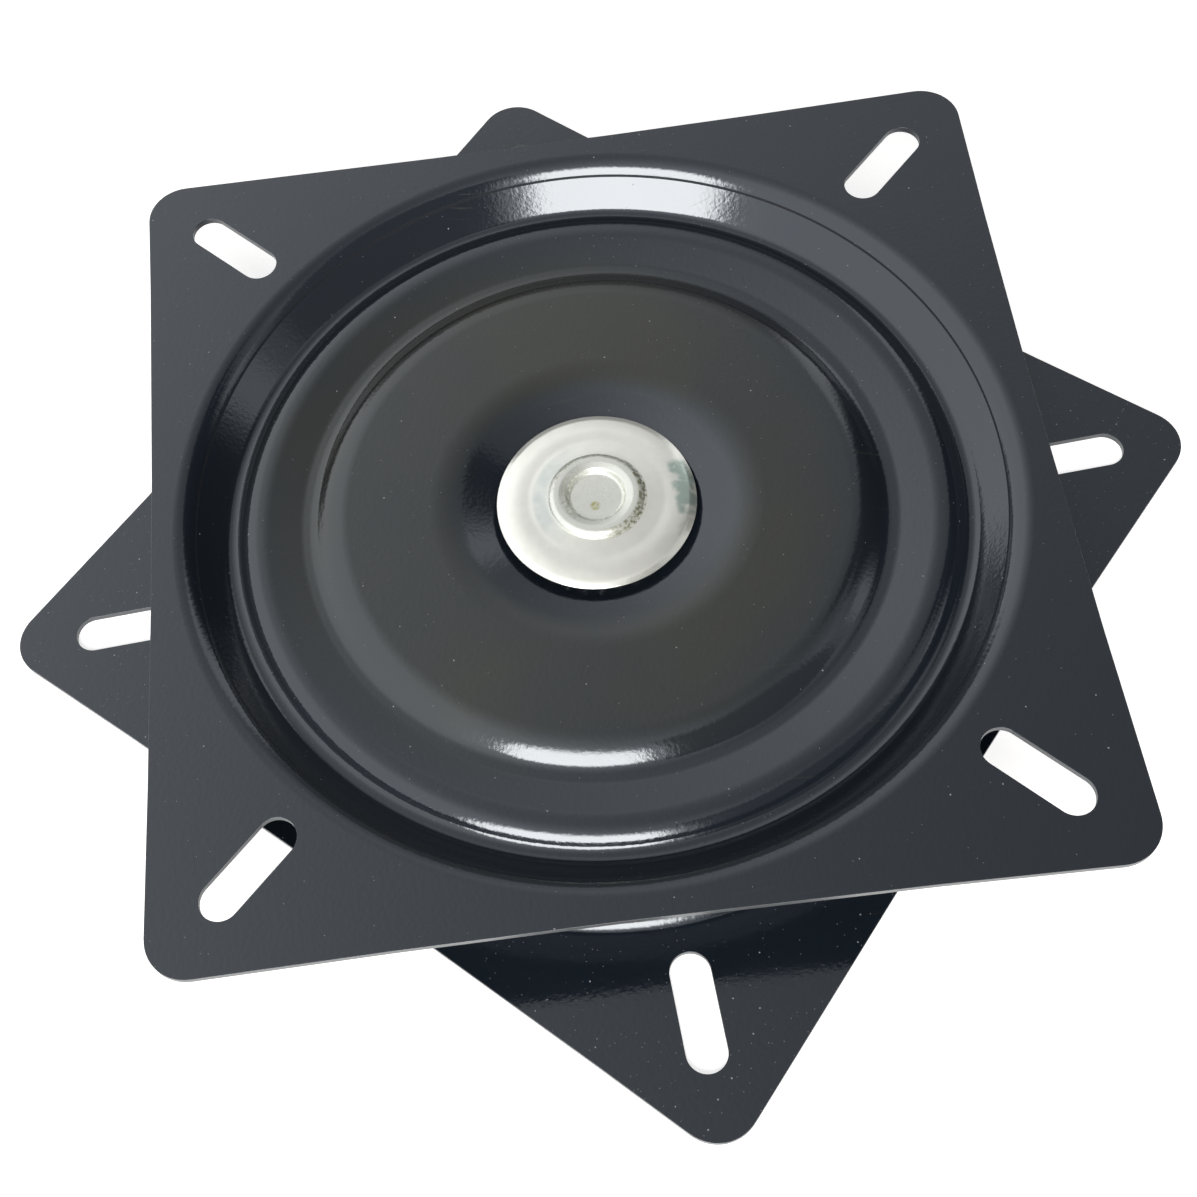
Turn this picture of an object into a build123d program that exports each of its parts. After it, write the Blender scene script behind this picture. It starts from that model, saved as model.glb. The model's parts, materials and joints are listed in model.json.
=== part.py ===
from build123d import *
import os
from math import asin, atan, floor, pi, radians, sqrt, tan

# Lazy susan bearing: two square plates pressed from sheet steel, dish against dish, which swivel on a ring of
# balls about a centre rivet. A second ring of small balls under a cap washer takes pull and tipping loads.
# Millimetres, +Z up. The origin lies on the swivel axis, in the plane that the lower plate rests on, and
# X and Y run along the lower plate's diagonals. "Depth" is measured from a plate's outer face into its dish.

# Plate blank
plate_side = 200.0
sheet = 1.6
corner_radius = 9.0
side_draw_in = 1.3  # the middle of each side is pulled in this far as the dish is drawn
edge_round = 0.3
display_turn = -48.5  # degrees that the upper plate is turned from the lower at rest

# Fixing slots, one along each half diagonal
slot_width = 8.6
slot_length = 25.0
slot_margin = 7.4  # between the dish's rim and the slot's inner end

# Dish, from the flat rim inwards
rim_width = 8.5  # narrowest flat rim, beside the middle of a side
shoulder_angle = 56.0
crease_depth = 2.95  # the die leaves a crease round the wall here, below which the wall is less steep
wall_angle = 46.0
moat_width = 2.2
moat_drop = 2.4  # the moat lies this much deeper than the race
step_angle = 40.0
race_depth = 6.8
race_width = 3.8
apron_run = 7.8  # the race's inner side falls over this run to the valley
valley_drop = 2.2
valley_width = 2.8
dome_angle = 32.0
dome_rise = 0.9  # the dome stands this much higher than the race
recess_angle = 19.0

# Inside radii of the press bends
shoulder_bend = 4.2
crease_bend = 0.3
moat_bend = 2.4
moat_step_bend = 2.6
race_step_bend = 4.4
apron_bend = 6.0
valley_outer_bend = 4.0
valley_inner_bend = 4.2
dome_edge_bend = 9.4
recess_lip_bend = 22.0
recess_floor_bend = 3.0

# Load balls and their cage
race_ball_diameter = 11.0
race_ball_count = 24
race_clearance = 0.15
cage_thickness = 3.2
cage_wall = 1.2
pocket_clearance = 0.15

# Centre rivet
floor_gap = 2.1  # between the two recess floors
shoulder_radius = 12.0
running_clearance = 0.1
rivet_head_overlap = 3.9
rivet_head_height = 2.4
rivet_head_round = 0.8
recess_floor_margin = 1.6  # flat floor beyond the rivet's head
neck_radius = 6.5
lip_overhang = 4.3  # the rolled lip reaches this far past the neck
lip_height = 1.5
lip_round = 1.25
crest_round = 2.0
bowl_radius = 5.5
bowl_depth = 1.7
bowl_angle = 36.0
bowl_round = 0.7

# Cap washer and the small balls under it
washer_radius = 22.4
washer_thickness = 1.6
washer_edge_round = 1.0
washer_back_round = 0.3
boss_run = 4.7  # the washer rises gently over this run to the rivet's lip
boss_rise = 0.4
cap_ball_diameter = 3.175
cap_ball_gap = 0.1
cap_clearance = 0.1
neck_fit = 0.05

# Heights and radii that follow from the sizes above
race_ball_radius = race_ball_diameter / 2
cap_ball_radius = cap_ball_diameter / 2
stack_height = 2 * (race_depth + sheet + race_clearance) + race_ball_diameter
recess_depth = (stack_height - floor_gap) / 2 - sheet
moat_depth = race_depth + moat_drop
valley_depth = race_depth + valley_drop
dome_depth = race_depth - dome_rise

dish_radius = plate_side / 2 - rim_width
crease_radius = dish_radius - crease_depth / tan(radians(shoulder_angle))
moat_outer = crease_radius - (moat_depth - crease_depth) / tan(radians(wall_angle))
moat_inner = moat_outer - moat_width
race_outer = moat_inner - moat_drop / tan(radians(step_angle))
race_inner = race_outer - race_width
valley_outer = race_inner - apron_run
valley_inner = valley_outer - valley_width
dome_edge_radius = valley_inner - (valley_depth - dome_depth) / tan(radians(dome_angle))
rivet_head_radius = shoulder_radius + rivet_head_overlap
recess_floor_radius = rivet_head_radius + recess_floor_margin
recess_lip_radius = recess_floor_radius + (recess_depth - dome_depth) / tan(radians(recess_angle))

hole_radius = shoulder_radius + running_clearance
slot_radius = dish_radius + slot_margin + slot_length / 2
race_radius = race_inner + (apron_bend + sheet) * tan(atan(valley_drop / apron_run) / 2)
cap_race_radius = shoulder_radius + running_clearance + cap_ball_radius
cap_ball_count = floor(pi / asin((cap_ball_radius + cap_ball_gap / 2) / cap_race_radius))

upper_floor = stack_height - recess_depth
washer_bottom = upper_floor + cap_ball_diameter + 2 * cap_clearance
washer_top = washer_bottom + washer_thickness
boss_top = washer_top + boss_rise
lip_radius = neck_radius + lip_overhang


def plate_section():
    """Half section of a pressed plate from its centre hole out past its corners, one sheet thick."""
    # Corners of the outer skin: radius, depth, inside bend, and whether the bend is a ridge on that skin.
    corners = [
        (recess_floor_radius, recess_depth, recess_floor_bend, False),
        (recess_lip_radius, dome_depth, recess_lip_bend, True),
        (dome_edge_radius, dome_depth, dome_edge_bend, True),
        (valley_inner, valley_depth, valley_inner_bend, False),
        (valley_outer, valley_depth, valley_outer_bend, False),
        (race_inner, race_depth, apron_bend, True),
        (race_outer, race_depth, race_step_bend, True),
        (moat_inner, moat_depth, moat_step_bend, False),
        (moat_outer, moat_depth, moat_bend, False),
        (crease_radius, crease_depth, crease_bend, False),
        (dish_radius, 0, shoulder_bend, True),
    ]
    first = (hole_radius, 0, -recess_depth)
    last = (plate_side / sqrt(2), 0, 0)
    between = [(radius, 0, -depth) for radius, depth, bend, ridge in corners]
    bends = [bend + sheet if ridge else bend for radius, depth, bend, ridge in corners]
    skin = FilletPolyline(first, *between, last, radius=bends)
    return Face(Wire(skin.edges()).offset_2d(-sheet, side=Side.LEFT, closed=True))


def plate_outline():
    """The square blank, its sides bowed in and its corners rounded, with its four slots."""
    half = plate_side / 2
    sides = []
    for quarter in range(4):
        bowed = ThreePointArc((half, -half), (half - side_draw_in, 0), (half, half))
        sides.append(bowed.rotate(Axis.Z, 90 * quarter))
    blank = make_face(sides)
    blank = fillet(blank.vertices(), corner_radius)
    for quarter in range(4):
        blank -= Rot(Z=45 + 90 * quarter) * Pos(slot_radius, 0) * SlotOverall(slot_length, slot_width)
    return blank


def pressed_plate():
    """One plate with its outer face at height 0 and its dish below."""
    pressing = revolve(plate_section(), Axis.Z)
    plate = pressing & extrude(plate_outline(), recess_depth + sheet, dir=(0, 0, -1))
    rims = plate.faces().filter_by(Axis.Z).sort_by(Axis.Z)[-2:]
    cut_edges = rims.edges().filter_by(lambda edge: not edge.is_closed)
    return fillet(cut_edges, edge_round)


def centre_rivet():
    """Turned rivet: head below the lower plate, shoulder through both plates, lip rolled over the washer."""
    head_bottom = recess_depth - rivet_head_height
    lip_top = boss_top + lip_height
    bowl_floor = lip_top - bowl_depth
    bowl_rim = bowl_radius + bowl_depth / tan(radians(bowl_angle))
    head = FilletPolyline(
        (0, 0, head_bottom),
        (rivet_head_radius, 0, head_bottom),
        (rivet_head_radius, 0, recess_depth),
        radius=rivet_head_round,
    )
    shank = Polyline(
        (rivet_head_radius, 0, recess_depth),
        (shoulder_radius, 0, recess_depth),
        (shoulder_radius, 0, washer_bottom),
        (neck_radius, 0, washer_bottom),
        (neck_radius, 0, boss_top),
        (lip_radius, 0, boss_top),
    )
    lip = FilletPolyline(
        (lip_radius, 0, boss_top),
        (lip_radius, 0, lip_top),
        (bowl_rim, 0, lip_top),
        (bowl_radius, 0, bowl_floor),
        (0, 0, bowl_floor),
        radius=[lip_round, crest_round, bowl_round],
    )
    core = Line((0, 0, bowl_floor), (0, 0, head_bottom))
    return revolve(make_face(head + shank + lip + core), Axis.Z)


def cap_washer():
    """Disc on the rivet's neck: flat below, well rounded at its upper edge, and rising a little to the lip."""
    hole = neck_radius + neck_fit
    section = FilletPolyline(
        (hole, 0, washer_bottom),
        (washer_radius, 0, washer_bottom),
        (washer_radius, 0, washer_top),
        (lip_radius + boss_run, 0, washer_top),
        (lip_radius, 0, boss_top),
        (hole, 0, boss_top),
        radius=[washer_back_round, washer_edge_round, boss_run, boss_rise],
    )
    return revolve(make_face(section + Line((hole, 0, boss_top), (hole, 0, washer_bottom))), Axis.Z)


def ball_ring(ball_radius, ring_radius, count, height):
    """Balls spaced evenly round the swivel axis."""
    first = Pos(ring_radius, 0, height) * Sphere(ball_radius)
    return [Rot(Z=360 * index / count) * first for index in range(count)]


def ball_cage(balls_height):
    """Ring with a ball shaped pocket for each load ball."""
    half_width = race_ball_radius + pocket_clearance + cage_wall
    cage = Cylinder(race_radius + half_width, cage_thickness) - Cylinder(race_radius - half_width, cage_thickness)
    cage = Pos(0, 0, balls_height) * cage
    return cage - ball_ring(race_ball_radius + pocket_clearance, race_radius, race_ball_count, balls_height)


plate = pressed_plate()
race_balls_height = stack_height / 2
cap_balls_height = upper_floor + cap_clearance + cap_ball_radius

pieces = {
    "bottom_plate": Rot(Z=45) * Rot(X=180) * plate,
    "top_plate": Pos(0, 0, stack_height) * Rot(Z=45 + display_turn) * plate,
    "centre_rivet": centre_rivet(),
    "cap_washer": cap_washer(),
    "ball_cage": ball_cage(race_balls_height),
}
race_balls = ball_ring(race_ball_radius, race_radius, race_ball_count, race_balls_height)
cap_balls = ball_ring(cap_ball_radius, cap_race_radius, cap_ball_count, cap_balls_height)
for index, ball in enumerate(race_balls, start=1):
    pieces[f"race_ball_{index:02d}"] = ball
for index, ball in enumerate(cap_balls, start=1):
    pieces[f"cap_ball_{index:02d}"] = ball

os.makedirs("parts", exist_ok=True)
for name, solid in pieces.items():
    export_step(solid, f"parts/{name}.step")
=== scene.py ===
import json
import math

import bpy
from mathutils import Euler, Matrix, Vector

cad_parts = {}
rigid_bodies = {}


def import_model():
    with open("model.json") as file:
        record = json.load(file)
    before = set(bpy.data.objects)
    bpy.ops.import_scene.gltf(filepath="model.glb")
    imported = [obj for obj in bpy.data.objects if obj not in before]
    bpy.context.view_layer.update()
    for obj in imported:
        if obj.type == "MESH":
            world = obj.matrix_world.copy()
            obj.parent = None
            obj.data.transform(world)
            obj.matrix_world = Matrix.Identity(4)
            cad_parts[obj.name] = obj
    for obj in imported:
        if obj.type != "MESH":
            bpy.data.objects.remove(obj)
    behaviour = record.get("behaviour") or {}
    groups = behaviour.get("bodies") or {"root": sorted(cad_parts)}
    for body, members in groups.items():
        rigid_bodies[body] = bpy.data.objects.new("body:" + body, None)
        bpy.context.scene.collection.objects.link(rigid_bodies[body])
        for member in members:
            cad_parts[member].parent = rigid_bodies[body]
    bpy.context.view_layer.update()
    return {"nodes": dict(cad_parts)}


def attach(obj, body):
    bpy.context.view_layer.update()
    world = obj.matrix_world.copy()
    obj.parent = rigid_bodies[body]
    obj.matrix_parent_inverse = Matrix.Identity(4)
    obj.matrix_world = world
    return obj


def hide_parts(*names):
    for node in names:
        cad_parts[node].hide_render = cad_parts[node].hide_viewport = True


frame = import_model()


# Lower plate
# A square of sheet steel, drawn in a press into a dish with a ring shaped race, its slots punched and its
# edges sheared. Black paint, stoved on, gives it a fine orange peel that gathers dust. It lies on the table
# with its hollow down and stays still.

SIDE = 0.2
DRAW_IN = 0.0013
CORNER_CUT = 0.0096
SHEET = 0.0016
EDGE_ROUND = 0.0007
SLOT_LENGTH, SLOT_WIDTH = 0.025, 0.0086
SLOT_RADIUS = 0.1114
HOLE_RADIUS = 0.0121
DISH_RIM = 0.0955
# Corners of the dish's outer skin in millimetres, from its floor to its shoulder: radius, height, bend.
DISH_CORNERS = (
    (17.5, -11.4, 3.0),
    (33.473, -5.9, 23.6),
    (59.054, -5.9, 11.0),
    (64.015, -9.0, 4.2),
    (66.815, -9.0, 4.0),
    (74.615, -6.8, 7.6),
    (78.415, -6.8, 6.0),
    (81.275, -9.2, 2.6),
    (83.475, -9.2, 2.4),
    (89.3, -3.17, 0.15),
    (89.47, -2.5, 0.15),
    (91.5, 0.0, 5.8),
)
LOWER_TURN = 45

# How finely curves are divided, and what counts as one point, one plane, a cut edge and a smooth bend.
ROUND_STEPS = 14
SIDE_CUTS = 40
EDGE_STEPS = 4
BEND_STEP = math.radians(4)
TURN_STEPS = 240
SEED_SIZE = 0.001  # the small square that a section is drawn out from
SAME_POINT = 1e-6
SAME_PLANE = math.radians(0.5)
CUT_ANGLE = math.radians(60)
PRESSED_SMOOTH = math.radians(25)

# Middle of the olive tint laid over the dish's middle.
OLIVE_TINT_CENTRE = (-0.011, 0.004, 0)
# Hairline scratches: angle in degrees, length, width.
HAIRLINES = ((31, 0.03, 0.0008), (-52, 0.024, 0.0007))
# Sizes of dust: cells to a metre on a clean plate, more of them with dust, size of a speck, strength.
DUST_SIZES = ((120, 80, 0.00023, 0.85), (250, 250, 0.00014, 0.5))
LOWER_DUST = 1.8


def edit(mode, action="SELECT"):
    """Edit mode with this kind of element chosen, and all or none of them selected."""
    bpy.ops.object.mode_set(mode="EDIT")
    bpy.ops.mesh.select_mode(type=mode)
    bpy.ops.mesh.select_all(action=action)


def cut_blank():
    """The outline of the square blank, its corners rounded and its sides bowed in by the press."""
    half = SIDE / 2
    bpy.ops.object.select_all(action="DESELECT")
    bpy.ops.mesh.primitive_plane_add(size=SIDE)
    blank = bpy.context.object
    edit("VERT")
    bpy.ops.mesh.bevel(offset=CORNER_CUT, segments=ROUND_STEPS, profile=0.5, affect="VERTICES")
    bpy.ops.mesh.delete(type="ONLY_FACE")
    bpy.ops.object.mode_set(mode="OBJECT")
    corners = blank.data.vertices
    for side in blank.data.edges:
        first, second = side.vertices
        side.select = (corners[first].co - corners[second].co).length > half
    bpy.ops.object.mode_set(mode="EDIT")
    bpy.ops.mesh.select_mode(type="EDGE")
    bpy.ops.mesh.subdivide(number_cuts=SIDE_CUTS)
    bpy.ops.object.mode_set(mode="OBJECT")
    for corner in blank.data.vertices:
        x, y = corner.co.xy / half
        corner.co.x -= x * DRAW_IN * (1 - y ** 2)
        corner.co.y -= y * DRAW_IN * (1 - x ** 2)
    return blank


def turn_about_axis(degrees):
    """The selected outline, turned about the plate's middle."""
    bpy.ops.transform.rotate(value=math.radians(degrees), orient_axis="Z", center_override=(0, 0, 0))


def punch_slots():
    """The outlines of four round ended slots along the diagonals, added to the blank."""
    middle = (SLOT_RADIUS, 0, 0)
    edit("VERT", "DESELECT")
    bpy.ops.mesh.primitive_plane_add(size=1, location=middle)
    bpy.ops.transform.resize(value=(SLOT_LENGTH, SLOT_WIDTH, 1), center_override=middle)
    bpy.ops.mesh.bevel(
        offset=SLOT_WIDTH / 2, segments=ROUND_STEPS, profile=0.5, affect="VERTICES", clamp_overlap=False)
    bpy.ops.mesh.remove_doubles(threshold=SAME_POINT)
    turn_about_axis(45)
    for _ in range(3):
        bpy.ops.mesh.duplicate()
        turn_about_axis(90)
    bpy.ops.mesh.select_all(action="SELECT")
    bpy.ops.mesh.delete(type="ONLY_FACE")
    bpy.ops.object.mode_set(mode="OBJECT")


def section_of(rows):
    """Corners and bends in metres, from rows in millimetres: radius, height, radius of the bend."""
    corners = [Vector((radius, 0, height)) / 1000 for radius, height, _ in rows]
    bends = [bend / 1000 for *_, bend in rows]
    return corners, bends


def draw_section(path, bends):
    """A section drawn run by run, with a bend of its own radius at each corner, and spun round the axis."""
    edit("VERT", "DESELECT")
    here = path[0]
    bpy.ops.mesh.primitive_plane_add(size=SEED_SIZE, location=here)
    bpy.ops.mesh.merge(type="CENTER")
    for before, corner, after, bend in zip(path, path[1:], path[2:], bends):
        into, out = (corner - before).normalized(), (after - corner).normalized()
        turn = into.angle(out)
        axis = into.cross(out).normalized()
        bend_start = corner - into * bend * math.tan(turn / 2)
        bpy.ops.mesh.extrude_region_move(TRANSFORM_OT_translate={"value": bend_start - here})
        centre = bend_start + axis.cross(into) * bend
        bpy.ops.mesh.spin(steps=max(2, round(turn / BEND_STEP)), angle=turn, center=centre, axis=-axis)
        here = corner + out * bend * math.tan(turn / 2)
    bpy.ops.mesh.extrude_region_move(TRANSFORM_OT_translate={"value": path[-1] - here})
    bpy.ops.mesh.select_linked()
    bpy.ops.mesh.spin(steps=TURN_STEPS, angle=2 * math.pi, center=(0, 0, 0), axis=(0, 0, 1))
    bpy.ops.mesh.select_all(action="SELECT")
    bpy.ops.mesh.remove_doubles(threshold=SAME_POINT)
    bpy.ops.object.mode_set(mode="OBJECT")


def draw_dish():
    """The skin of the dish, from its centre hole to its rim."""
    corners, bends = section_of(DISH_CORNERS)
    hole = Vector((HOLE_RADIUS, 0, corners[0].z))
    rim = Vector((DISH_RIM, 0, 0))
    draw_section([hole, *corners, rim], bends)


def select_open_edges(wires):
    """The edges with one face, and also those with none where wires is set; left in object mode."""
    edit("EDGE", "DESELECT")
    bpy.ops.mesh.select_non_manifold(
        use_wire=wires, use_multi_face=False, use_non_contiguous=False, use_verts=False)
    bpy.ops.object.mode_set(mode="OBJECT")


def fill_flange(plate):
    """The flat flange between the dish's rim, the slots and the outline, and all faces turned outwards."""
    select_open_edges(wires=True)
    for edge in plate.data.edges:
        edge.select = edge.select and plate.data.vertices[edge.vertices[0]].co.z > -SHEET / 2
    bpy.ops.object.mode_set(mode="EDIT")
    bpy.ops.mesh.fill()
    bpy.ops.mesh.dissolve_limited(angle_limit=SAME_PLANE)
    bpy.ops.mesh.select_all(action="SELECT")
    bpy.ops.mesh.normals_make_consistent(inside=False)
    bpy.ops.object.mode_set(mode="OBJECT")
    flange = max(plate.data.polygons, key=lambda face: face.area)
    if flange.normal.z < 0:
        edit("FACE")
        bpy.ops.mesh.flip_normals()
        bpy.ops.object.mode_set(mode="OBJECT")


def finish_with(piece, kind, **settings):
    """A modifier with these settings, applied."""
    modifier = piece.modifiers.new(kind.lower(), kind)
    for name, value in settings.items():
        setattr(modifier, name, value)
    bpy.ops.object.modifier_apply(modifier=modifier.name)


def pressed_plate(name, place):
    """One plate: made with its outer face at height 0 and its dish below, then put in place."""
    plate = cut_blank()
    plate.name = name
    punch_slots()
    draw_dish()
    fill_flange(plate)
    finish_with(
        plate, "SOLIDIFY", thickness=SHEET, offset=-1, use_even_offset=True, use_quality_normals=True)
    finish_with(
        plate, "BEVEL", limit_method="ANGLE", angle_limit=CUT_ANGLE, width=EDGE_ROUND, segments=EDGE_STEPS)
    bpy.ops.object.shade_smooth_by_angle(angle=PRESSED_SMOOTH)
    finish_with(plate, "WEIGHTED_NORMAL", keep_sharp=True)
    plate.matrix_world = place
    bpy.ops.object.transform_apply(location=True, rotation=True, scale=True)
    return plate


def add(tree, kind, inputs=None, **settings):
    """A shader node, each of its inputs set to a value or linked to another node's output."""
    node = tree.nodes.new("ShaderNode" + kind)
    for name, value in settings.items():
        setattr(node, name, value)
    for name, value in (inputs or {}).items():
        if isinstance(value, bpy.types.NodeSocket):
            tree.links.new(value, node.inputs[name])
        else:
            node.inputs[name].default_value = value
    return node


def calculate(tree, operation, *values):
    """The result of a sum on numbers."""
    return add(tree, "Math", dict(enumerate(values)), operation=operation).outputs[0]


def product(tree, first, *others):
    """Several numbers multiplied together."""
    for other in others:
        first = calculate(tree, "MULTIPLY", first, other)
    return first


def calculate_vector(tree, operation, *vectors):
    """The result of a sum on vectors: a number for a length, a distance or a dot product, else a vector."""
    node = add(tree, "VectorMath", dict(enumerate(vectors)), operation=operation)
    gives_number = operation in ("LENGTH", "DISTANCE", "DOT_PRODUCT")
    return node.outputs["Value" if gives_number else "Vector"]


def step(tree, value, start, full, least=0.0, most=1.0):
    """A smooth step from least, where value is at start, to most, where it is full."""
    inputs = {"Value": value, "From Min": start, "From Max": full, "To Min": least, "To Max": most}
    return add(tree, "MapRange", inputs, interpolation_type="SMOOTHSTEP").outputs[0]


def noise(tree, place, scale, detail):
    """Cloudy noise with this many features to a metre."""
    return add(tree, "TexNoise", {"Vector": place, "Scale": scale, "Detail": detail}).outputs["Fac"]


def patches(tree, place, scale, detail, start, full, least=0.0, most=1.0):
    """Patches, this many to a metre, that go from least to most as the noise goes from start to full."""
    return step(tree, noise(tree, place, scale, detail), start, full, least, most)


def mix(tree, factor, first, second):
    """A colour between two others."""
    node = add(tree, "Mix", data_type="RGBA")
    for socket, value in ((node.inputs[0], factor), (node.inputs[6], first), (node.inputs[7], second)):
        if isinstance(value, bpy.types.NodeSocket):
            tree.links.new(value, socket)
        else:
            socket.default_value = value
    return node.outputs[2]


def specks(tree, place, scale, size):
    """Round specks of this size, in metres, one at most in each cell of the given scale."""
    cells = add(tree, "TexVoronoi", {"Vector": place, "Scale": scale})
    return step(tree, cells.outputs["Distance"], start=size * scale, full=size * scale * 0.5)


def hairlines(tree, place, angle, length, width):
    """Hairline scratches in one direction, given by an angle about Z in degrees."""
    turn = (0, 0, math.radians(angle))
    scale = (1 / length, 1 / width, 1 / length)
    stretched = add(tree, "Mapping", {"Vector": place, "Rotation": turn, "Scale": scale}).outputs[0]
    return patches(tree, stretched, scale=1, detail=1, start=0.72, full=0.76)


def new_material(name):
    """A material with its node tree and its Principled shader."""
    material = bpy.data.materials.new(name)
    material.use_nodes = True
    tree = material.node_tree
    return material, tree, tree.nodes["Principled BSDF"]


def own_place(tree):
    """Where on its object a point lies."""
    return add(tree, "TexCoord").outputs["Object"]


def from_axis(tree, place):
    """The way from the swivel axis to a place, and its length."""
    across = calculate_vector(tree, "MULTIPLY", place, (1, 1, 0))
    return across, calculate_vector(tree, "LENGTH", across)


def levelness(tree):
    """How level the surface lies: 1 where it faces straight up or down, 0 where it is upright."""
    normal = add(tree, "NewGeometry").outputs["Normal"]
    return calculate(tree, "ABSOLUTE", add(tree, "SeparateXYZ", {"Vector": normal}).outputs["Z"])


def uneven(tree, shader, place, scale, detail, depth):
    """Fine unevenness of a finish: this many bumps to a metre, of this depth."""
    bumps = add(tree, "Bump", {"Height": noise(tree, place, scale, detail), "Distance": depth})
    tree.links.new(bumps.outputs[0], shader.inputs["Normal"])


def black_paint(name, dust, turn):
    """Stoved black paint on a plate turned by this many degrees, with an amount of dust."""
    blue_black = (0.0085, 0.0125, 0.019, 1)
    olive_tint_colour = (0.023, 0.0225, 0.013, 1)
    slot_colour = (0.02, 0.022, 0.026, 1)
    # The outer edges' paler colour is a painted highlight over the thinner paint of a cut edge.
    edge_highlight_colour = (0.085, 0.09, 0.093, 1)
    dust_colour = (0.3, 0.31, 0.32, 1)
    sheen_colour = (0.87, 0.93, 1.0, 1)
    line_strength = 0.4
    material, tree, shader = new_material(name)
    place = own_place(tree)
    across, radius = from_axis(tree, place)

    from_tint_middle = calculate_vector(tree, "DISTANCE", across, OLIVE_TINT_CENTRE)
    olive_tint = product(
        tree,
        step(tree, from_tint_middle, start=0.078, full=0.05, most=0.95),
        patches(tree, place, scale=22, detail=5, start=0.35, full=0.7, least=0.45),
        step(tree, radius, start=0.027, full=0.035),
    )
    lines = 0.0
    for angle, length, width in HAIRLINES:
        lines = calculate(tree, "ADD", lines, hairlines(tree, place, angle, length, width))
    lines = product(tree, lines, patches(tree, place, scale=26, detail=2, start=0.5, full=0.62))
    dots = 0.0
    for clean, dusty, size, strength in DUST_SIZES:
        layer = product(tree, specks(tree, place, clean + dusty * dust, size), strength)
        dots = calculate(tree, "MAXIMUM", dots, layer)

    square = {"Vector": across, "Angle": math.radians(-turn)}
    square = add(tree, "VectorRotate", square, rotation_type="Z_AXIS").outputs[0]
    square = add(tree, "SeparateXYZ", {"Vector": calculate_vector(tree, "ABSOLUTE", square)})
    outermost = calculate(tree, "MAXIMUM", square.outputs["X"], square.outputs["Y"])
    outer_outline = step(tree, outermost, start=0.097, full=0.0982)
    level = levelness(tree)
    rolled = product(tree, outer_outline, step(tree, level, start=0.96, full=0.84))
    cut_edge = calculate(tree, "MAXIMUM", step(tree, level, start=0.5, full=0.3), rolled)

    colour = mix(tree, olive_tint, blue_black, olive_tint_colour)
    colour = mix(tree, product(tree, lines, line_strength), colour, olive_tint_colour)
    # The outer cut edges are coloured paler than the slot walls: a painted highlight.
    colour = mix(tree, cut_edge, colour, mix(tree, outer_outline, slot_colour, edge_highlight_colour))
    colour = mix(tree, dots, colour, dust_colour)
    tree.links.new(colour, shader.inputs["Base Color"])

    roughness = patches(tree, place, scale=70, detail=3, start=0.3, full=0.7, least=0.1, most=0.14)
    for share, rougher in ((olive_tint, 0.05), (lines, 0.1)):
        roughness = calculate(tree, "MULTIPLY_ADD", share, rougher, roughness)
    for share, rough in ((cut_edge, 0.35), (dots, 0.8)):
        roughness = calculate(tree, "MAXIMUM", roughness, product(tree, share, rough))
    tree.links.new(roughness, shader.inputs["Roughness"])

    uneven(tree, shader, place, scale=1000, detail=2, depth=0.00003)
    shader.inputs["Specular IOR Level"].default_value = 1.0
    shader.inputs["Specular Tint"].default_value = sheen_colour
    return material


turned_over = Matrix.Rotation(math.radians(LOWER_TURN), 4, "Z") @ Matrix.Rotation(math.pi, 4, "X")
lower_plate = pressed_plate("lower_plate", turned_over)
lower_plate.data.materials.append(black_paint("lower_plate_paint", LOWER_DUST, LOWER_TURN))
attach(lower_plate, "base")
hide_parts("bottom_plate")


# Load balls
# Hardened steel balls, ground and polished, that lie in the cage and roll between the two pressed races. A
# ring of smaller ones rolls between the upper plate and the washer. A film of grease dulls them all.

def ball_steel():
    """Polished ball steel under a thin, patchy film of grease."""
    bare = (0.58, 0.59, 0.6, 1)
    greased = (0.42, 0.4, 0.34, 1)
    grease_rougher = 0.16
    material, tree, shader = new_material("polished_ball_steel")
    place = own_place(tree)
    grease = patches(tree, place, scale=160, detail=3, start=0.45, full=0.65)
    tree.links.new(mix(tree, grease, bare, greased), shader.inputs["Base Color"])
    roughness = patches(tree, place, scale=420, detail=2, start=0.3, full=0.7, least=0.06, most=0.12)
    roughness = calculate(tree, "MULTIPLY_ADD", grease, grease_rougher, roughness)
    tree.links.new(roughness, shader.inputs["Roughness"])
    shader.inputs["Metallic"].default_value = 1.0
    return material


nodes = frame["nodes"]
polished = ball_steel()
for name in nodes:
    if name.startswith(("race_ball", "cap_ball")):
        nodes[name].material_slots[0].material = polished


# Ball cage
# A flat ring moulded in natural nylon, with a pocket for each load ball, that keeps the balls apart. It
# lies loose between the plates, carried round by the balls, and grease gathers on it.

def cage_nylon():
    """Moulded natural nylon with a fine grain and smears of grease."""
    clean = (0.66, 0.63, 0.54, 1)
    stained = (0.36, 0.31, 0.2, 1)
    grease_smoother = -0.2
    material, tree, shader = new_material("moulded_nylon")
    place = own_place(tree)
    stain_and_painted_reflection = patches(tree, place, scale=90, detail=4, start=0.44, full=0.7)
    tree.links.new(mix(tree, stain_and_painted_reflection, clean, stained), shader.inputs["Base Color"])
    roughness = patches(tree, place, scale=300, detail=2, start=0.3, full=0.7, least=0.42, most=0.56)
    roughness = calculate(tree, "MULTIPLY_ADD", stain_and_painted_reflection, grease_smoother, roughness)
    tree.links.new(roughness, shader.inputs["Roughness"])
    uneven(tree, shader, place, scale=2400, detail=2, depth=0.00001)
    return material


nodes["ball_cage"].material_slots[0].material = cage_nylon()


# Upper plate
# The same painted pressing the other way up, so that its dish faces up. It turns on the load balls, and the
# small balls under the washer hold it down. It is wiped cleaner than the lower one.

UPPER_HEIGHT = 0.0281
UPPER_TURN = -3.5
UPPER_DUST = 0.7

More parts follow.
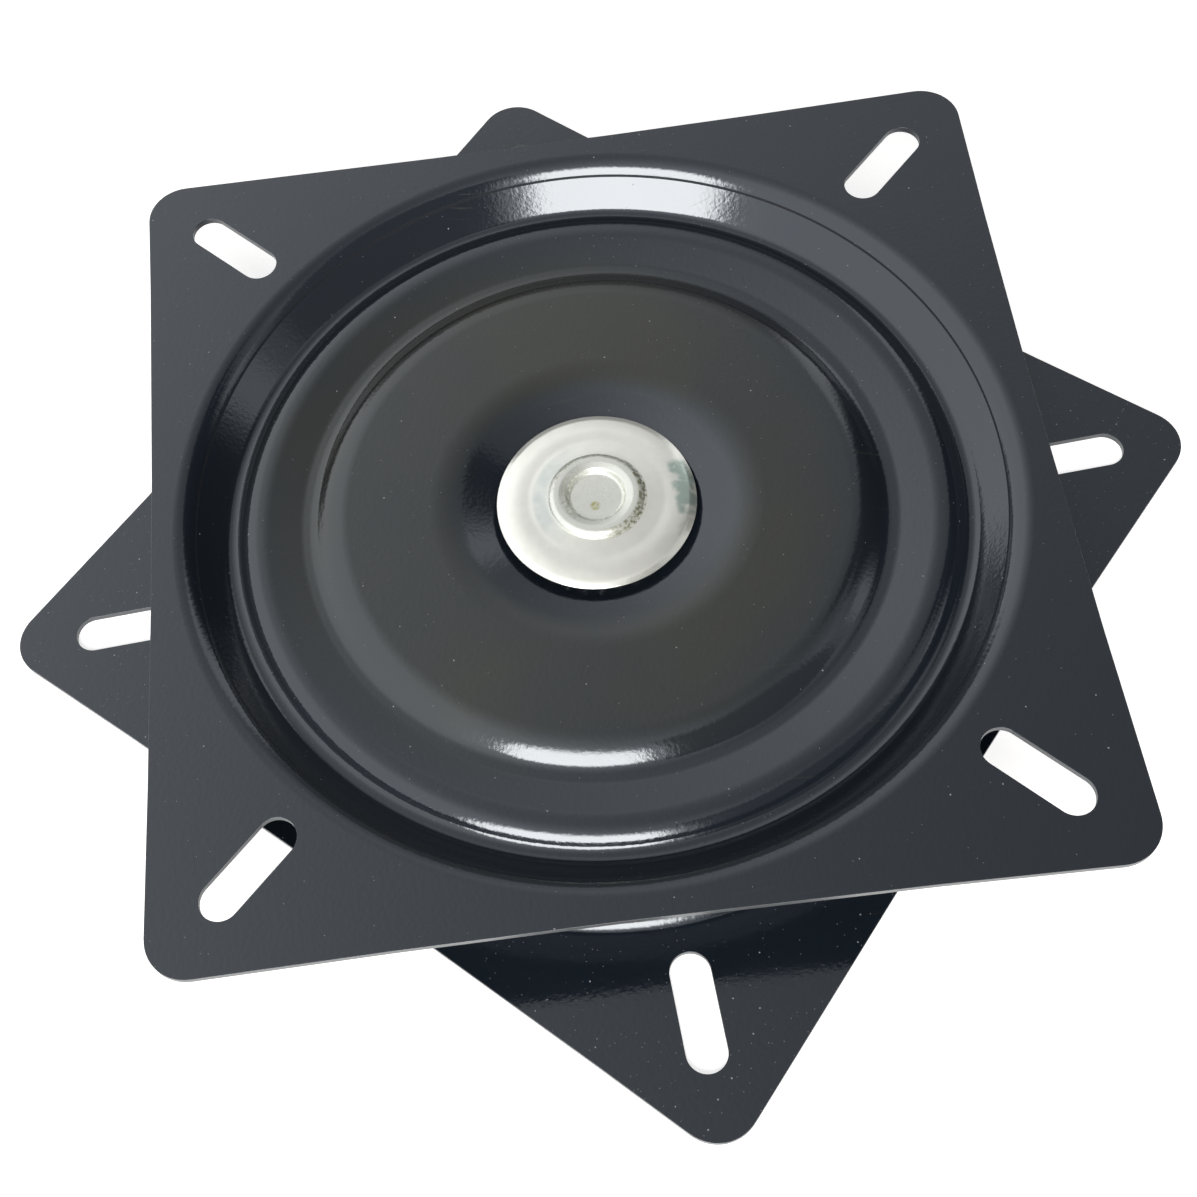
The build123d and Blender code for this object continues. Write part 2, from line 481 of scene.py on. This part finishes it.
raised = Matrix.Translation((0, 0, UPPER_HEIGHT)) @ Matrix.Rotation(math.radians(UPPER_TURN), 4, "Z")
upper_plate = pressed_plate("upper_plate", raised)
upper_plate.data.materials.append(black_paint("upper_plate_paint", UPPER_DUST, UPPER_TURN))
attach(upper_plate, "turntable")
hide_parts("top_plate")


# Cap washer
# A turned steel disc with a crowned upper face, plated with bright zinc and slipped over the rivet's neck.
# Its plate has a satin sheen, and its rim, where it was parted off, is duller.
# A grey-blue reflection is painted on its crown's left, and a dark teal one at its right.

WASHER_HOLE = 0.00655
# Corners of its section in millimetres: radius, height, radius of the rounding.
WASHER_CORNERS = (
    (22.4, 20.075, 0.3),
    (22.4, 20.45, 0.25),
    (21.0, 21.07, 5.0),
    (18.2, 21.675, 14.0),
    (15.2, 21.675, 12.0),
    (10.8, 22.075, 0.4),
)
TURNED_SMOOTH = math.radians(30)
WASHER_WEAR = 0.0
# Rings of grime, and on the rivet also of painted shade: side in degrees, inner and outer radius, strength.
WASHER_GRIME = ((-20, 0.0107, 0.0112, 1.0),)
# Side and radii of a grey-blue reflection painted on the crown's left.
GREY_REFLECTION_SIDE = 165
GREY_REFLECTION_INNER, GREY_REFLECTION_OUTER = 0.0115, 0.0137
# Middle of a dark teal reflection painted on the crown's right side.
DARK_REFLECTION_MIDDLE = (0, -0.001, 0)


def turned_piece(name, path, bends):
    """A piece turned about the axis to this section."""
    bpy.ops.object.select_all(action="DESELECT")
    bpy.ops.mesh.primitive_plane_add(size=SEED_SIZE)
    piece = bpy.context.object
    piece.name = name
    edit("VERT")
    bpy.ops.mesh.delete(type="VERT")
    draw_section(path, bends)
    select_open_edges(wires=False)
    if any(edge.select for edge in piece.data.edges):
        bpy.ops.object.mode_set(mode="EDIT")
        bpy.ops.mesh.bridge_edge_loops()
    edit("FACE")
    bpy.ops.mesh.normals_make_consistent(inside=False)
    bpy.ops.object.mode_set(mode="OBJECT")
    bpy.ops.object.shade_smooth_by_angle(angle=TURNED_SMOOTH)
    finish_with(piece, "WEIGHTED_NORMAL", keep_sharp=True)
    return piece


def ring(tree, radius, inner, outer, soft):
    """A soft edged ring between two radii."""
    return product(
        tree,
        step(tree, radius, start=inner - soft, full=inner),
        step(tree, radius, start=outer + soft, full=outer),
    )


def towards_side(tree, across, radius, angle, start, full):
    """More towards one side of the axis, by the cosine of the angle from it."""
    way = (math.cos(math.radians(angle)), math.sin(math.radians(angle)), 0)
    facing = calculate_vector(tree, "DOT_PRODUCT", across, way)
    return step(tree, calculate(tree, "DIVIDE", facing, radius), start, full)


def bright_plate(name, wear, grime_and_shade_rings, oil=None):
    """Satin zinc plate, worn by an amount, with rings of grime and painted shade, painted reflections on
    the crown and, where given, a drop of oil.
    """
    bright = (0.94, 0.955, 0.9, 1)
    dull = (0.74, 0.77, 0.72, 1)
    # Grey-blue colour of a reflection painted on the crown's left.
    grey_reflection_colour = (0.66, 0.72, 0.71, 1)
    # Dark teal colour of a reflection painted on the crown's right.
    dark_reflection_colour = (0.28, 0.42, 0.385, 1)
    parted = (0.3, 0.31, 0.31, 1)
    oil_colour = (0.42, 0.4, 0.12, 1)
    # Colour of grime, and of the painted shade on the rivet's far lip.
    grime_and_shade_colour = (0.16, 0.165, 0.11, 1)
    worn = 0.7 * wear
    worn_rougher = 0.1 * wear
    metal_share = 0.75
    material, tree, shader = new_material(name)
    place = own_place(tree)
    across, radius = from_axis(tree, place)

    mottle = patches(tree, place, scale=110, detail=4, start=0.4, full=0.7, least=worn, most=0.3 + worn)
    blotches = patches(tree, place, scale=1100, detail=4, start=0.4, full=0.62)
    # Rings darkened with grime, and on the rivet's far lip with painted shade.
    grime_and_shade = 0.0
    for side, inner, outer, strength in grime_and_shade_rings:
        streak = product(
            tree,
            ring(tree, radius, inner, outer, soft=0.0003),
            towards_side(tree, across, radius, side, start=0.1, full=0.9),
            strength,
        )
        grime_and_shade = calculate(tree, "MAXIMUM", grime_and_shade, streak)
    grime_and_shade = product(tree, grime_and_shade, step(tree, blotches, start=0, full=1, least=0.25))
    # A grey-blue reflection painted on the crown's left side.
    stain_and_painted_reflection = product(
        tree,
        ring(tree, radius, GREY_REFLECTION_INNER, GREY_REFLECTION_OUTER, soft=0.0012),
        towards_side(tree, across, radius, GREY_REFLECTION_SIDE, start=0.3, full=1.0),
        patches(tree, place, scale=300, detail=4, start=0.3, full=0.7, least=0.5, most=0.9),
    )
    # A dark teal reflection painted on the crown's right side, in spots.
    spread = calculate_vector(tree, "SUBTRACT", place, DARK_REFLECTION_MIDDLE)
    spread = add(tree, "SeparateXYZ", {"Vector": spread})
    dark_reflection = product(
        tree,
        step(tree, spread.outputs["X"], start=0.0165, full=0.0179),
        step(tree, calculate(tree, "ABSOLUTE", spread.outputs["Y"]), start=0.0078, full=0.006),
        patches(tree, place, scale=330, detail=2, start=0.66, full=0.45, least=0.1, most=0.7),
    )
    rim = product(
        tree,
        step(tree, levelness(tree), start=0.75, full=0.45),
        step(tree, radius, start=0.02, full=0.021),
    )

    colour = mix(tree, mottle, bright, dull)
    colour = mix(tree, stain_and_painted_reflection, colour, grey_reflection_colour)
    colour = mix(tree, dark_reflection, colour, dark_reflection_colour)
    colour = mix(tree, rim, colour, parted)
    if oil:
        from_oil = calculate_vector(tree, "DISTANCE", place, oil)
        oiled = product(
            tree,
            step(tree, from_oil, start=0.0015, full=0.0005),
            step(tree, blotches, start=0, full=1, least=0.4),
        )
        colour = mix(tree, oiled, colour, oil_colour)
    colour = mix(tree, grime_and_shade, colour, grime_and_shade_colour)
    tree.links.new(colour, shader.inputs["Base Color"])

    satin = patches(tree, place, scale=240, detail=3, start=0.3, full=0.7, least=0.15, most=0.22)
    roughness = calculate(tree, "ADD", satin, worn_rougher)
    for share, rougher in ((rim, 0.3), (grime_and_shade, 0.4)):
        roughness = calculate(tree, "MULTIPLY_ADD", share, rougher, roughness)
    tree.links.new(roughness, shader.inputs["Roughness"])
    bare = calculate(tree, "SUBTRACT", 1.0, calculate(tree, "MAXIMUM", grime_and_shade, rim))
    tree.links.new(product(tree, bare, metal_share), shader.inputs["Metallic"])
    uneven(tree, shader, place, scale=420, detail=3, depth=0.00003)
    return material


corners, bends = section_of(WASHER_CORNERS)
bore_foot, bore_head = (Vector((WASHER_HOLE, 0, corner.z)) for corner in (corners[0], corners[-1]))
washer = turned_piece("crowned_washer", [bore_foot, *corners, bore_head], bends)
washer.data.materials.append(bright_plate("bright_washer", WASHER_WEAR, WASHER_GRIME))
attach(washer, "base")
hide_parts("cap_washer")


# Centre rivet
# A turned steel rivet whose end was rolled over the washer cold, into a round lip about a shallow bowl, and
# bright plated like the washer. Its head holds the lower plate, and its shoulder goes through both plates.
# Grime has settled along the lip's right side and on the bowl's left wall, and a drop of old oil lies in
# the bowl. The lip's far side is darkened with painted shade.

RIVET_FOOT = 0.009
BOWL_FLOOR = 0.021875
# Corners of its section in millimetres, from its foot to its bowl: radius, height, radius of the rounding.
RIVET_CORNERS = (
    (15.9, 9.0, 0.8),
    (15.9, 11.4, 0.05),
    (12.0, 11.4, 0.05),
    (12.0, 20.075, 0.05),
    (6.5, 20.075, 0.05),
    (6.5, 22.075, 0.05),
    (10.8, 22.075, 0.1),
    (10.8, 22.6, 0.35),
    (10.0, 23.575, 1.6),
    (8.3, 23.575, 1.5),
    (6.75, 23.1, 0.5),
    (6.05, 21.875, 0.8),
)
RIVET_WEAR = 1.0
# The ring at 95 degrees is painted shade on the lip's far side; the others are grime.
RIVET_GRIME_AND_SHADE = ((-20, 0.0097, 0.0109, 1.0), (95, 0.0095, 0.0109, 0.5), (165, 0.0058, 0.0078, 0.5))
OIL_SPOT = (-0.0006, -0.0022, 0.0219)

corners, bends = section_of(RIVET_CORNERS)
foot, bowl = (Vector((0, 0, height)) for height in (RIVET_FOOT, BOWL_FLOOR))
rivet = turned_piece("rolled_rivet", [foot, *corners, bowl], bends)
rivet.data.materials.append(bright_plate("bright_rivet", RIVET_WEAR, RIVET_GRIME_AND_SHADE, OIL_SPOT))
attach(rivet, "base")
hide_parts("centre_rivet")


# Floor
# A plain table top covered with matt white paper, which the bearing lies on. It takes the bearing's soft
# shadow, and shows as white to the eye and in the paint.

FLOOR_SIZE = 4.0
FLOOR_HEIGHT = -0.0002
PAPER_GLOW = 0.72

bpy.ops.object.select_all(action="DESELECT")
bpy.ops.mesh.primitive_plane_add(size=FLOOR_SIZE, location=(0, 0, FLOOR_HEIGHT))
floor = bpy.context.object
floor.name = "floor"
paper, tree, shader = new_material("floor_paper")
shader.inputs["Base Color"].default_value = (0.8, 0.8, 0.8, 1)
shader.inputs["Roughness"].default_value = 0.9
shader.inputs["Emission Color"].default_value = (1, 1, 1, 1)
rays = add(tree, "LightPath")
seen = calculate(tree, "MAXIMUM", rays.outputs["Is Camera Ray"], rays.outputs["Is Glossy Ray"])
seen = calculate(tree, "MAXIMUM", seen, rays.outputs["Is Transmission Ray"])
tree.links.new(product(tree, seen, PAPER_GLOW), shader.inputs["Emission Strength"])
floor.data.materials.append(paper)


# Light
# A large soft box stands in front of the bearing, a little to the left. The room about it is white, with a
# greyer ceiling and a darker right side, and the paint and the plate mirror what stands in it.

KEY_AZIMUTH = 249.4
KEY_ELEVATION = 43.5
KEY_DISTANCE = 2.0
KEY_HALF_ANGLES = (22.0, 19.0)
KEY_RADIANCE = 10.5
KEY_COLOUR = (1.0, 0.96, 0.91)
ROOM_LIGHT = 2.87
ROOM_FALL = (1.09, 0.51, 2.25)
# The light falls off upwards from this height only; sideways it falls off all the way.
ROOM_LOWEST = (-2, -2, 0.72)
ROOM_WHITEST = 1.25
FILL_LIGHT = 0.25
# The horizon in degrees, its soft edge to each side, and the light below it.
HORIZON = 3.0
HORIZON_EDGE = 2.0
HORIZON_LIGHT = 0.15
# Things in the room, soft edged: azimuth, elevation, half width and half height in degrees, brightness.
THING_EDGE = 3.0
THINGS = (
    (24, 24, 17, 26, 0.03),
    (28, 54, 9, 8, 0.05),
    (-10, 4, 16, 10, 0.04),
    (-48, 40, 30, 28, 0.2),
    (-4, 25, 6, 9, 0.85),
    (89, 7, 27, 15, 0.22),
    (51, 24, 6, 19, 1.0),
)


def direction(azimuth, elevation):
    """The direction towards an azimuth from +X and an elevation, in degrees."""
    turn, rise = math.radians(azimuth), math.radians(elevation)
    return Vector((math.cos(turn) * math.cos(rise), math.sin(turn) * math.cos(rise), math.sin(rise)))


towards_key = direction(KEY_AZIMUTH, KEY_ELEVATION)
key = bpy.data.lights.new("key", "AREA")
key.shape = "RECTANGLE"
key.size, key.size_y = (2 * KEY_DISTANCE * math.tan(math.radians(angle)) for angle in KEY_HALF_ANGLES)
key.energy = KEY_RADIANCE * key.size * key.size_y * math.pi
key.color = KEY_COLOUR
key.use_nodes = True
tree = key.node_tree
where = add(tree, "SeparateXYZ", {"Vector": add(tree, "NewGeometry").outputs["Parametric"]})
along = where.outputs["Y"]
from_middle = calculate(tree, "ABSOLUTE", calculate(tree, "SUBTRACT", where.outputs["X"], 0.5))
narrowing = step(tree, along, start=0.35, full=1.0, least=0.5, most=0.3)
soft_box = product(
    tree,
    step(tree, calculate(tree, "DIVIDE", from_middle, narrowing), start=1.0, full=0.74),
    step(tree, along, start=0.0, full=0.13),
    step(tree, along, start=1.0, full=0.7),
)
tree.links.new(soft_box, tree.nodes["Emission"].inputs["Strength"])
key_object = bpy.data.objects.new("key", key)
key_object.location = towards_key * KEY_DISTANCE
key_object.rotation_euler = (-towards_key).to_track_quat("-Z", "Y").to_euler()
bpy.context.scene.collection.objects.link(key_object)

world = bpy.data.worlds.new("white_room")
bpy.context.scene.world = world
world.use_nodes = True
tree = world.node_tree
towards = add(tree, "TexCoord").outputs["Generated"]
fall = calculate_vector(tree, "MAXIMUM", towards, ROOM_LOWEST)
fall = calculate_vector(tree, "DOT_PRODUCT", fall, ROOM_FALL)
shown = calculate(tree, "MINIMUM", calculate(tree, "SUBTRACT", ROOM_LIGHT, fall), ROOM_WHITEST)
split = add(tree, "SeparateXYZ", {"Vector": towards})
dark, lit = (math.sin(math.radians(HORIZON + edge)) for edge in (-HORIZON_EDGE, HORIZON_EDGE))
shown = product(tree, shown, step(tree, split.outputs["Z"], dark, lit, HORIZON_LIGHT))
azimuth = calculate(tree, "DEGREES", calculate(tree, "ARCTAN2", split.outputs["Y"], split.outputs["X"]))
elevation = calculate(tree, "DEGREES", calculate(tree, "ARCSINE", split.outputs["Z"]))
for *middle, half_width, half_height, brightness in THINGS:
    covered = 1.0
    for angle, centre, half in zip((azimuth, elevation), middle, (half_width, half_height)):
        away = calculate(tree, "ABSOLUTE", calculate(tree, "SUBTRACT", angle, centre))
        inside = step(tree, away, start=half + THING_EDGE, full=half - THING_EDGE)
        covered = product(tree, covered, inside)
    change = calculate(tree, "SUBTRACT", brightness, shown)
    shown = calculate(tree, "MULTIPLY_ADD", covered, change, shown)
rays = add(tree, "LightPath")
mirrored = calculate(tree, "MAXIMUM", rays.outputs["Is Glossy Ray"], rays.outputs["Is Transmission Ray"])
fill = product(tree, calculate(tree, "SUBTRACT", 1.0, mirrored), FILL_LIGHT)
strength = calculate(tree, "MAXIMUM", product(tree, mirrored, shown), fill)
strength = calculate(tree, "MAXIMUM", strength, rays.outputs["Is Camera Ray"])
background = tree.nodes["Background"]
background.inputs["Color"].default_value = (1, 1, 1, 1)
tree.links.new(strength, background.inputs["Strength"])


# Camera
# It stands above the bearing's front side and looks down into the dish, through a lens of about normal
# length whose picture is shifted a little off its middle.

CAMERA_PLACE = (-0.01833, -0.19707, 0.35437)
CAMERA_TURN = (28.189, 4.634, -9.268)

camera = bpy.data.cameras.new("camera")
camera.sensor_width = 36.0
camera.lens = 52.163
camera.shift_x = 0.05169
camera.shift_y = -0.02128
camera.clip_start = 0.01
camera_object = bpy.data.objects.new("camera", camera)
camera_object.location = CAMERA_PLACE
camera_object.rotation_euler = Euler([math.radians(angle) for angle in CAMERA_TURN], "XYZ")
bpy.context.scene.collection.objects.link(camera_object)
bpy.context.scene.camera = camera_object
bpy.context.scene.view_settings.view_transform = "Standard"
